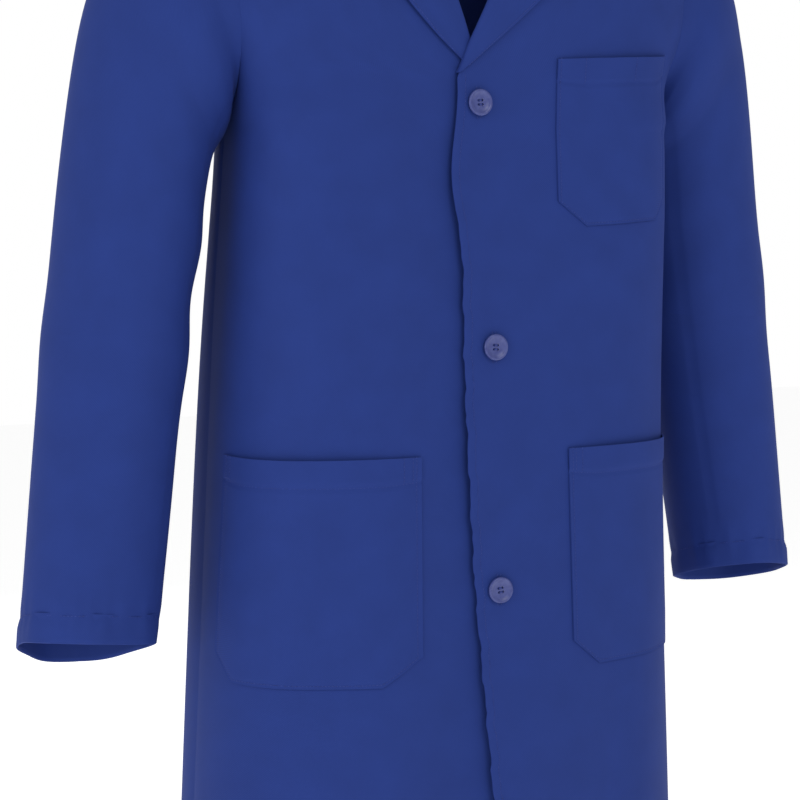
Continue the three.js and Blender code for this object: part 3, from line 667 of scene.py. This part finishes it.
def smoothLine(points):
    # centripetal curve through the points, read at shares of its length in points
    points = [np.array(p, float) for p in points]
    points = [2 * points[0] - points[1]] + points + [2 * points[-1] - points[-2]]

    def at(t):
        scaled = np.clip(t, 0, 1) * (len(points) - 3)
        index = np.minimum(scaled.astype(int), len(points) - 4)
        result = np.zeros(t.shape + (2,))
        for n in range(len(points) - 3):
            p0, p1, p2, p3 = points[n:n + 4]
            d0, d1, d2 = (max(np.linalg.norm(q - p) ** 0.5, 1e-6) for p, q in ((p0, p1), (p1, p2), (p2, p3)))
            m1 = ((p1 - p0) / d0 - (p2 - p0) / (d0 + d1) + (p2 - p1) / d1) * d1
            m2 = ((p2 - p1) / d1 - (p3 - p1) / (d1 + d2) + (p3 - p2) / d2) * d1
            w = (scaled - n)[..., None]
            cubic = 2 * p1 - 2 * p2 + m1 + m2
            square = 3 * p2 - 3 * p1 - 2 * m1 - m2
            value = cubic * w ** 3 + square * w ** 2 + m1 * w + p1
            result = np.where((index == n)[..., None], value, result)
        return result
    return at


s = sleeveCut
outerLine = smoothLine([
    (coat["shoulderHalf"], coat["shoulder"]),
    (mix(coat["shoulderHalf"], s["capOuter"], 0.68), mix(coat["shoulder"], s["capZ"], 0.36)),
    (s["capOuter"], s["capZ"]),
    (mix(s["capOuter"], s["elbowOuter"], 0.75), s["elbowZ"] + s["elbowZone"]),
    (mix(s["elbowOuter"], s["cuffOuter"], 0.22), s["elbowZ"] - s["elbowZone"]),
    (s["cuffOuter"], s["cuffZ"])])


def innerEdge(side):
    return smoothLine([
        (coat["chestHalf"], coat["armpit"]),
        (coat["chestHalf"] + 0.4 * s["underarm"], coat["armpit"] - 0.0112),
        (coat["chestHalf"] + s["underarm"], coat["armpit"] - 0.028),
        (mix(coat["chestHalf"] + s["underarm"], s["elbowInner"], 0.6), s["elbowZ"] + s["elbowZone"]),
        (mix(s["elbowInner"], s["cuffInner"][side], 0.3), s["elbowZ"] - s["elbowZone"]),
        (s["cuffInner"][side], s["cuffZ"])])


innerLine = {side: innerEdge(side) for side in (1, -1)}


def sleeveFolds(side, t, angle):
    # shallow slanting folds at the elbow and under the arm, and seams that draw the cloth in
    elbowNear = np.exp(-((t - 0.68) / 0.13) ** 2)
    slant = np.sin(38 * t + 2.0 * np.cos(angle + 0.5) + side) * np.maximum(0, -np.cos(angle))
    bend = np.sin(30 * t + 1.6 * np.sin(angle) + 2 * side)
    long = np.sin(3 * angle + 4.5 * t + side) * ease(t / 0.3)
    fold = 0.0016 * elbowNear * (slant + 0.5 * bend) + 0.0014 * long
    for seam in (s["frontSeam"], s["backSeam"]):
        apart = np.abs((angle - radians(seam) + pi) % (2 * pi) - pi)
        fold = fold - 0.0010 * np.exp(-(apart / 0.035) ** 2) * ease(t / 0.25)
    return fold


def sleevePoints(side, t, angle, lift=0.0):
    t, angle = np.broadcast_arrays(np.asarray(t, float), np.asarray(angle, float))
    outer, inner = outerLine(t), innerLine[side](t)
    middle, half = (outer + inner) / 2, (outer - inner) / 2
    size = np.linalg.norm(half, axis=-1)
    grown = lift + sleeveFolds(side, t, angle) * ease(t / 0.08) - 0.0011 * np.exp(-(t / 0.006) ** 2)
    point = middle + half * ((1 + grown / size) * np.cos(angle))[..., None]
    upperDepth = mix(coat["armholeDepth"], s["halfDepth"], ease(t / 0.6))
    depth = mix(upperDepth, s["cuffHalfDepth"], ease((t - 0.6) / 0.4))
    y = (depth + grown) * np.sin(angle)
    # at the armhole the ring is the body's own edge
    ringZ = np.clip(point[..., 1], coat["armpit"], coat["shoulder"])
    for face, chosen in ((frontFace, np.sin(angle) < 0), (backFace, np.sin(angle) >= 0)):
        onBody = face["sign"] * bodyDepth(face, halfWidth(ringZ), ringZ)
        y = np.where(chosen, mix(onBody, y, ease(t / 0.10)), y)
    lower = ease((t - 0.8) / 0.2)
    frontTilt, backTilt = s["tilt"][side]
    slope = mix(frontTilt, backTilt, ease(0.5 + y / (2 * s["cuffHalfDepth"]))) * lower
    drop = s["innerDrop"][side] * lower * (1 - np.cos(angle)) / 2
    sway = s["elbowBack"] * ease((t - 0.2) / 0.4) - s["forward"] * ease(t / 0.2)
    sway = sway - s["cuffForward"] * ease((t - 0.65) / 0.35)
    return np.stack([side * point[..., 0], y + sway, point[..., 1] - slope * y - drop], -1)


def shareAtHeight(height):
    # share of the sleeve's length where its middle is this high
    low, high = 0.0, 1.0
    for _ in range(30):
        middle = (low + high) / 2
        z = (outerLine(np.array([middle])) + innerLine[1](np.array([middle])))[0, 1] / 2
        low, high = (middle, high) if z > height else (low, middle)
    return low


elbowShare = shareAtHeight(elbow["cut"])
hemShare = shareAtHeight(s["cuffZ"] + s["hem"])


def buildSleeve(side, name):
    angle = np.linspace(0, 2 * pi, 97)[:-1]
    upper = np.concatenate([[0, 0.004, 0.009], np.linspace(0.016, elbowShare, 92)])
    t, turn = np.meshgrid(upper, angle, indexing="ij")
    top = sheetMesh(f"{name}SleeveUpper", sleevePoints(side, t, turn), closed=True,
                    outward=sleeveOutward(side, t, turn))
    thicken(top)
    finish(top, coatTwill)
    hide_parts(f"{name}_sleeve_upper", f"{name}_sleeve_elbow")
    place(top, f"{name}Sleeve")
    lower = np.linspace(elbowShare, 1, 74)
    t, turn = np.meshgrid(lower, angle, indexing="ij")
    nearHem = ease((t - hemShare) / (1 - hemShare) * 6)
    pucker = 0.0006 * np.sin(23 * turn + 2 * np.sin(5 * turn)) * np.exp(-((t - hemShare) / 0.016) ** 2)
    groove = -0.0006 * np.exp(-((t - hemShare) / 0.006) ** 2)
    wave = 0.0011 * np.sin(7 * turn + side) * nearHem
    outer = sleevePoints(side, t, turn, pucker + groove + 0.0006 * nearHem + wave)
    turned = np.linspace(1, hemShare - 0.002, 8)
    tIn, turnIn = np.meshgrid(turned, angle, indexing="ij")
    inner = sleevePoints(side, tIn, turnIn, 0.0011 * np.sin(7 * turnIn + side) - 0.0014)
    rolled = (outer[-1:] + inner[:1]) / 2 + np.array([0, 0, -0.0007])
    grid = np.concatenate([outer, rolled, inner], axis=0)
    tAll = np.concatenate([t, tIn[:1] * 0 + 1, tIn], axis=0)
    turnAll = np.concatenate([turn, turnIn[:1], turnIn], axis=0)
    bottom = sheetMesh(f"{name}SleeveLower", grid, closed=True,
                       outward=sleeveOutward(side, tAll, turnAll, len(lower)))
    thicken(bottom)
    finish(bottom, coatTwill)
    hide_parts(f"{name}_sleeve_lower")
    place(bottom, f"{name}Forearm")


def sleeveOutward(side, t, turn, count=None):
    # which way is out, for every quad: only the plain tube's rows are asked
    away = np.stack([side * np.cos(turn), np.sin(turn), 0 * turn], -1)[:-1]
    if count is not None:
        away[count - 1:] = 0
    return away.reshape(-1, 3)


for side, name in ((1, "left"), (-1, "right")):
    buildSleeve(side, name)
print("sleeves made")


# Patch pockets
hipPocket = {
    "inner": 0.071, "outer": {1: 0.203, -1: 0.213}, "top": -0.540, "height": 0.188,
    "corner": 0.023, "hem": 0.023, "tilt": 0.0,
    "flat": (0.155, 0.211), "area": 0.031,
}
chestPocket = {
    "inner": 0.063, "outer": {1: 0.177}, "top": -0.212, "height": 0.141,
    "corner": 0.022, "hem": 0.022, "tilt": 0.06,
    "flat": (0.122, 0.163), "area": 0.0175,
}


def pocketPoints(side, cut, a, b, lift):
    middle = cut["top"] - cut["height"] / 2
    inner, outer = float(turnAt(cut["inner"], middle)), float(turnAt(cut["outer"][side], middle))
    width = cut["flat"][0]
    rise = cut["corner"] * np.maximum(0, 1 - np.minimum(a, 1 - a) * width / cut["corner"])
    z = mix(cut["top"] - cut["height"] + rise, cut["top"], b) + cut["tilt"] * width * a
    x = side * xAtTurn(mix(inner, outer, a), z)
    return frontPoints(side, x, z, lift)


def pocketLift(cut, a, b):
    # sewn edges lie close, the middle bags slightly and the mouth stands open a little
    hemStart = 1 - cut["hem"] / cut["height"]
    edge = np.minimum(np.minimum(a, 1 - a) * 9, b * 12)
    bag = 0.0012 * ease(np.minimum(np.minimum(a, 1 - a), b) * 3)
    mouth = 0.0014 * ease((b - 0.75) / 0.25) * np.sin(pi * np.clip(a, 0, 1)) ** 0.8
    doubled = 0.0006 * ease((b - hemStart) * 60)
    groove = -0.0009 * np.exp(-((b - hemStart) / 0.009) ** 2)
    sewn = -0.0005 * np.exp(-((edge - 0.16) / 0.12) ** 2)
    base = 0.0018 - 0.0006 * ease((a - 0.8) / 0.2)
    return base + bag + mouth + doubled + groove + sewn


def buildPocket(side, cut, pieceName, node, where):
    a, b = np.meshgrid(shares(60, 0.006), shares(80, 0.004))
    patch = sheetMesh(pieceName, pocketPoints(side, cut, a, b, pocketLift(cut, a, b)),
                      outward=np.array([0, -1.0, 0]))
    thicken(patch, 0.0013)
    finish(patch, coatTwill)
    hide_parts(node)
    place(patch, where)


buildPocket(1, hipPocket, "leftHipPocket", "left_hip_pocket", "leftFront")
buildPocket(-1, hipPocket, "rightHipPocket", "right_hip_pocket", "rightFront")
buildPocket(1, chestPocket, "chestPocket", "chest_pocket", "leftFront")
print("pockets made")


# Neck facing and hanger loop
def buildNeckFacing():
    turn, b = np.meshgrid(np.linspace(-0.47, 0.47, 60), shares(14), indexing="ij")
    x = coat["neckHalf"] * np.sin(turn * pi)
    top = ridgeHeight(backFace, x) - roundHeight(x) * neckRise(x)
    z = top - 0.001 - backCut["facingDrop"] * b * np.cos(turn * pi) ** 0.6
    facing = sheetMesh("backNeckFacing", bodyPoints(backFace, x, z, -0.0018), outward=np.array([0, 1.0, 0]))
    thicken(facing)
    # the facing is the coat's own cloth, drawn in the darker copy: painted shade
    finish(facing, paintedShadeTwill)
    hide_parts("back_neck_facing")
    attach(facing, "coat")


loopTape = {"half": 0.030, "width": 0.007, "stand": 0.005, "thickness": 0.0010}


def buildLoop():
    low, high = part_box("hanger_loop")
    middleZ = (low[2] + high[2]) / 2
    x, b = np.meshgrid(np.linspace(-loopTape["half"], loopTape["half"], 60), shares(6), indexing="ij")
    z = middleZ + (b - 0.5) * loopTape["width"] - 0.002 * np.cos(pi * x / loopTape["half"] / 2)
    stand = loopTape["stand"] * ease((0.022 - np.abs(x)) / 0.012)
    wall = bodyDepth(backFace, x, z) - 0.0034
    edge = np.minimum(wall, high[1] + 0.002)
    grid = np.stack([x, edge - stand, z], -1)
    tape = sheetMesh("hangerLoop", grid, outward=np.array([0, -1.0, 0]))
    thicken(tape, loopTape["thickness"], 0)
    # the loop is drawn in the darker copy of the cloth: painted shade
    finish(tape, paintedShadeTwill)
    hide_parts("hanger_loop")
    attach(tape, "coat")


buildNeckFacing()
buildLoop()
print("neck facing and loop made")


# Buttons
buttonCut = {
    "radius": 0.011, "thick": 0.0030, "rim": 0.0021, "dish": 0.0011, "hole": 0.00095,
    "spacing": 0.0034, "stand": 0.0016, "tilt": (4, -3, 7),
}


def buttonFrame(number):
    x, z = buttonSpots[number][0], buttonSpots[number][2]
    centre = frontPoints(1, np.array(x), np.array(z), 0.0)
    ahead = frontPoints(1, np.array(x), np.array(z), 0.01) - centre
    normal = Vector((ahead / np.linalg.norm(ahead)).tolist())
    turn = normal.to_track_quat("Z", "X").to_matrix().to_4x4()
    return Matrix.Translation(Vector(centre.tolist())) @ turn, normal


def buildButton(number):
    cut = buttonCut
    r, rim, top = cut["radius"], cut["rim"], cut["thick"]
    dished = top - cut["dish"]
    profile = [(0.0001, 0.0004), (r - 0.0018, 0.0), (r - 0.0006, 0.0004), (r, 0.0012), (r, top - 0.0009),
               (r - 0.0004, top - 0.0002), (r - 0.0010, top), (r - rim, top - 0.0002),
               (r - rim - 0.0007, top - 0.0006), (r - rim - 0.0016, dished),
               (r * 0.4, dished - 0.0002), (0.0001, dished - 0.0002)]
    around = np.linspace(0, 2 * pi, 65)[:-1]
    grid = np.array([[(p * cos(a), p * sin(a), h) for a in around] for p, h in profile])
    disc = sheetMesh(f"button{number + 1}", grid, closed=True, outward=discOutward(grid))
    bpy.context.view_layer.update()
    for layer in list(disc.data.uv_layers):
        disc.data.uv_layers.remove(layer)
    closeEnds(disc)
    cutters = []
    half = cut["spacing"] / 2
    for x in (-half, half):
        for y in (-half, half):
            bpy.ops.mesh.primitive_cylinder_add(
                vertices=20, radius=cut["hole"], depth=0.02, location=(x, y, 0))
            cutters.append(bpy.context.object)
    for cutter in cutters:
        hole = disc.modifiers.new("hole", "BOOLEAN")
        hole.operation = "DIFFERENCE"
        hole.object = cutter
        hole.solver = "EXACT"
    depsgraph = bpy.context.evaluated_depsgraph_get()
    pierced = bpy.data.meshes.new_from_object(disc.evaluated_get(depsgraph))
    disc.modifiers.clear()
    disc.data = pierced
    for cutter in cutters:
        bpy.data.objects.remove(cutter, do_unlink=True)
    pose, normal = buttonFrame(number)
    turned = pose @ Matrix.Rotation(radians(cut["tilt"][number]), 4, "Z")
    disc.data.transform(Matrix.Translation(normal * cut["stand"]) @ turned)
    finish(disc, buttonResin)
    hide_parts(f"button_{number + 1}")
    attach(disc, "right_front_swing")
    buildButtonThread(number, turned, normal)


def discOutward(grid):
    centre = np.array([0, 0, buttonCut["thick"] / 2])
    return (grid[:-1] - centre).reshape(-1, 3)


def closeEnds(obj):
    work = bmesh.new()
    work.from_mesh(obj.data)
    bmesh.ops.holes_fill(work, edges=work.edges, sides=0)
    bmesh.ops.recalc_face_normals(work, faces=work.faces)
    work.to_mesh(obj.data)
    work.free()


def buildButtonThread(number, turned, normal):
    # two bars of thread over the face, and the wound shank behind it
    cut = buttonCut
    half, top = cut["spacing"] / 2, cut["thick"] - cut["dish"] + cut["stand"]
    bars = []
    for x in (-half, half):
        for shift in (-0.00028, 0.00028):
            path = [(x + shift, -half, top - 0.0018), (x + shift, -half + 0.0002, top + 0.0001),
                    (x + shift, 0, top + 0.00035), (x + shift, half - 0.0002, top + 0.0001),
                    (x + shift, half, top - 0.0018)]
            bars.append(([Vector(p) for p in path], 0.00030))
    bars.append(([Vector((0, 0, cut["stand"] + 0.0004)), Vector((0, 0, -0.0046))], 0.0013))
    curve = bpy.data.curves.new(f"buttonThread{number + 1}", "CURVE")
    curve.dimensions = "3D"
    curve.bevel_depth = 1.0
    curve.bevel_resolution = 2
    curve.resolution_u = 6
    curve.use_fill_caps = True
    for points, radius in bars:
        spline = curve.splines.new("POLY" if len(points) == 2 else "NURBS")
        spline.points.add(len(points) - 1)
        for spot, point in zip(spline.points, points):
            spot.co = (*point, 1)
            spot.radius = radius
        if len(points) > 2:
            spline.use_endpoint_u = True
            spline.order_u = 3
    drawn = bpy.data.objects.new("drawn", curve)
    scene.collection.objects.link(drawn)
    depsgraph = bpy.context.evaluated_depsgraph_get()
    mesh = bpy.data.meshes.new_from_object(drawn.evaluated_get(depsgraph))
    bpy.data.objects.remove(drawn, do_unlink=True)
    thread = bpy.data.objects.new(f"buttonThread{number + 1}", mesh)
    scene.collection.objects.link(thread)
    mesh.transform(turned)
    mesh.polygons.foreach_set("use_smooth", [True] * len(mesh.polygons))
    finish(thread, sewingThread)
    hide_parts(f"button_thread_{number + 1}")
    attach(thread, "right_front_swing")


for number in range(3):
    buildButton(number)
print("buttons made")


# Stitches: runs of thread laid on the cloth by a node tree
stitchCut = {"pitch": 0.0030, "length": 0.0022, "width": 0.00055, "raise": 0.0001}


def stitchTree():
    tree = bpy.data.node_groups.new("stitchRun", "GeometryNodeTree")
    face = tree.interface
    face.new_socket("Geometry", in_out="INPUT", socket_type="NodeSocketGeometry")
    for label in ("Pitch", "Length", "Width"):
        face.new_socket(label, in_out="INPUT", socket_type="NodeSocketFloat")
    face.new_socket("Thread", in_out="INPUT", socket_type="NodeSocketMaterial")
    face.new_socket("Geometry", in_out="OUTPUT", socket_type="NodeSocketGeometry")
    given = addNode(tree, "NodeGroupInput")
    line = addNode(tree, "GeometryNodeMeshToCurve", {}, {"Mesh": given.outputs["Geometry"]})
    even = addNode(tree, "GeometryNodeResampleCurve", {"mode": "LENGTH"},
                   {"Curve": line.outputs["Curve"], "Length": given.outputs["Pitch"]})
    tangent = addNode(tree, "GeometryNodeInputTangent")
    along = addNode(tree, "FunctionNodeAlignRotationToVector", {"axis": "Z"},
                    {"Vector": tangent.outputs["Tangent"]})
    size = addNode(tree, "ShaderNodeCombineXYZ", {},
                   {"X": given.outputs["Width"], "Y": given.outputs["Width"], "Z": given.outputs["Length"]})
    bead = addNode(tree, "GeometryNodeMeshUVSphere", {"Segments": 6, "Rings": 4, "Radius": 0.5})
    laid = addNode(tree, "GeometryNodeInstanceOnPoints", {},
                   {"Points": even.outputs["Curve"], "Instance": bead.outputs["Mesh"],
                    "Rotation": along.outputs["Rotation"], "Scale": size.outputs["Vector"]})
    real = addNode(tree, "GeometryNodeRealizeInstances", {}, {"Geometry": laid.outputs["Instances"]})
    smooth = addNode(tree, "GeometryNodeSetShadeSmooth", {}, {"Geometry": real.outputs["Geometry"]})
    dyed = addNode(tree, "GeometryNodeSetMaterial", {},
                   {"Geometry": smooth.outputs["Geometry"], "Material": given.outputs["Thread"]})
    addNode(tree, "NodeGroupOutput", {}, {"Geometry": dyed.outputs["Geometry"]})
    return tree


stitchRun = stitchTree()


def layStitches(name, runs, where, pitch=None, length=None):
    # one mesh of stitches along several lines of points
    points, edges = [], []
    for run in runs:
        start = len(points)
        points += [tuple(p) for p in run]
        edges += [(start + n, start + n + 1) for n in range(len(run) - 1)]
    mesh = bpy.data.meshes.new("lines")
    mesh.from_pydata(points, edges, [])
    lines = bpy.data.objects.new("lines", mesh)
    scene.collection.objects.link(lines)
    laid = lines.modifiers.new("stitches", "NODES")
    laid.node_group = stitchRun
    values = {"Pitch": pitch or stitchCut["pitch"], "Length": length or stitchCut["length"],
              "Width": stitchCut["width"], "Thread": sewingThread}
    for item in stitchRun.interface.items_tree:
        if item.name in values:
            laid[item.identifier] = values[item.name]
    depsgraph = bpy.context.evaluated_depsgraph_get()
    stitched = bpy.data.meshes.new_from_object(lines.evaluated_get(depsgraph))
    bpy.data.objects.remove(lines, do_unlink=True)
    thread = bpy.data.objects.new(name, stitched)
    scene.collection.objects.link(thread)
    finish(thread, sewingThread)
    place(thread, where)


def edgeRun(side, zs):
    inset = frontEdge(side, zs) + side * frontCut["stitchIn"]
    return frontPoints(side, inset, zs, stitchCut["raise"])


def hemRun(side, face, edgeOf):
    z = np.full(140, coat["hem"] + frontCut["hemDepth"])
    start = float(turnAt(float(edgeOf(z[:1])[0]) + side * 0.006, z[0]))
    turn = mix(start, side * pi / 2 * 0.995, np.linspace(0, 1, 140))
    x = xAtTurn(turn, z)
    if face is frontFace:
        return frontPoints(side, x, z, -0.0003)
    return bodyPoints(face, x, z, -0.0003)


def pocketRuns(side, cut, slots=()):
    hemStart = 1 - cut["hem"] / cut["height"]
    inset, low = 0.020, 0.014
    rows, cols = np.linspace(1, low, 90), np.linspace(inset, 1 - inset, 80)
    around = np.concatenate([
        np.stack([0 * rows + inset, rows], -1),
        np.stack([cols, 0 * cols + low], -1),
        np.stack([0 * rows + 1 - inset, rows[::-1]], -1)])
    lines = [around, np.stack([cols, 0 * cols + hemStart], -1)]
    bars = np.linspace(hemStart, 0.995, 14)
    for spot in slots:
        lines.append(np.stack([0 * bars + spot, bars], -1))
    return [pocketPoints(side, cut, l[:, 0], l[:, 1], pocketLift(cut, l[:, 0], l[:, 1]) + stitchCut["raise"])
            for l in lines]


def lapelRun(side):
    b = np.linspace(0.04, 0.985, 90)
    a = np.full_like(b, 0.925)
    across = np.linspace(0.925, 0.06, 40)
    top = np.full_like(across, 0.965)
    first = lapelPoints(side, a, b, 0.0035)
    second = lapelPoints(side, across, top, 0.0036)
    return [first, second]


def collarRun(start, end):
    turn = np.linspace(start, end, 120)
    return collarPoints(turn, np.full_like(turn, 0.95)) + np.array([0, 0, 0.0004])


def sleeveRing(side, share, lift):
    angle = np.linspace(0, 2 * pi, 160)
    return sleevePoints(side, np.full_like(angle, share), angle, lift)


def buttonholeRuns():
    runs = []
    half = 0.0125
    for spot in buttonSpots:
        for aside in (-0.0016, 0.0016):
            z = spot[2] + np.linspace(-half, half, 20)
            runs.append(frontPoints(1, np.full_like(z, spot[0] + aside), z, stitchCut["raise"]))
    return runs


zEdge = np.linspace(coat["hem"] + 0.001, coat["breakZ"] - 0.002, 500)
barTacks = (0.035, 0.070, 0.930, 0.965)
layStitches("leftFrontStitches",
            [edgeRun(1, zEdge), hemRun(1, frontFace, lambda z: frontEdge(1, z))]
            + pocketRuns(1, hipPocket, barTacks) + pocketRuns(1, chestPocket, (0.17, 0.55))
            + lapelRun(1), "leftFront")
layStitches("rightFrontStitches",
            [edgeRun(-1, zEdge), hemRun(-1, frontFace, lambda z: frontEdge(-1, z))]
            + pocketRuns(-1, hipPocket, barTacks) + lapelRun(-1), "rightFront")
layStitches("buttonholeStitches", buttonholeRuns(), "leftFront", 0.0008, 0.0014)
layStitches("leftBackStitches", [hemRun(1, backFace, lambda z: backEdge(1, z))], "vent")
layStitches("rightBackStitches", [hemRun(-1, backFace, lambda z: backEdge(-1, z))], "coat")
layStitches("collarStitches", [collarRun(-0.5, 0.5)], "coat")
layStitches("leftCollarStitches", [collarRun(0.5, 0.97)], "leftFront")
layStitches("rightCollarStitches", [collarRun(-0.97, -0.5)], "rightFront")
layStitches("leftCuffStitches", [sleeveRing(1, hemShare, -0.0004)], "leftForearm")
layStitches("rightCuffStitches", [sleeveRing(-1, hemShare, -0.0004)], "rightForearm")
print("stitches laid")


# Studio: pale floor and soft light
studio = {"floor": -1.30, "floorHalf": 7.0, "ambient": 0.50, "glow": 0.50}


def buildStudio():
    h, z = studio["floorHalf"], studio["floor"]
    mesh = bpy.data.meshes.new("floor")
    mesh.from_pydata([(-h, -h, z), (h, -h, z), (h, h, z), (-h, h, z)], [], [(0, 1, 2, 3)])
    floor = bpy.data.objects.new("floor", mesh)
    scene.collection.objects.link(floor)
    pale = bpy.data.materials.new("palePaper")
    pale.use_nodes = True
    shader = pale.node_tree.nodes["Principled BSDF"]
    shader.inputs["Base Color"].default_value = (0.92, 0.92, 0.92, 1)
    shader.inputs["Roughness"].default_value = 0.9
    shader.inputs["Emission Color"].default_value = (1, 1, 1, 1)
    shader.inputs["Emission Strength"].default_value = studio["glow"]
    mesh.materials.append(pale)
    world = bpy.data.worlds.new("studio")
    scene.world = world
    world.use_nodes = True
    tree = world.node_tree
    tree.nodes["Background"].inputs["Color"].default_value = (1, 1, 1, 1)
    tree.nodes["Background"].inputs["Strength"].default_value = studio["ambient"]
    seen = addNode(tree, "ShaderNodeBackground", {"Color": (1, 1, 1, 1), "Strength": 1.0})
    ray = addNode(tree, "ShaderNodeLightPath")
    both = addNode(tree, "ShaderNodeMixShader", {}, {
        0: ray.outputs["Is Camera Ray"], 1: tree.nodes["Background"].outputs[0], 2: seen.outputs[0]})
    tree.links.new(both.outputs[0], tree.nodes["World Output"].inputs["Surface"])
    for name, place, size, power in (
            ("keyLight", (0.1, -2.4, 1.0), 1.2, 14), ("fillLight", (-2.6, -0.9, 0.1), 1.6, 16),
            ("topLight", (0.2, 0.2, 1.9), 2.0, 5), ("rimLight", (0.5, 2.8, 0.4), 2.0, 14)):
        data = bpy.data.lights.new(name, "AREA")
        data.size = size
        data.energy = power
        lamp = bpy.data.objects.new(name, data)
        spot = Vector(place)
        aim = Vector((0, 0, -0.4)) - spot
        lamp.matrix_world = Matrix.Translation(spot) @ aim.to_track_quat("-Z", "Y").to_matrix().to_4x4()
        scene.collection.objects.link(lamp)


buildStudio()
print("studio set")
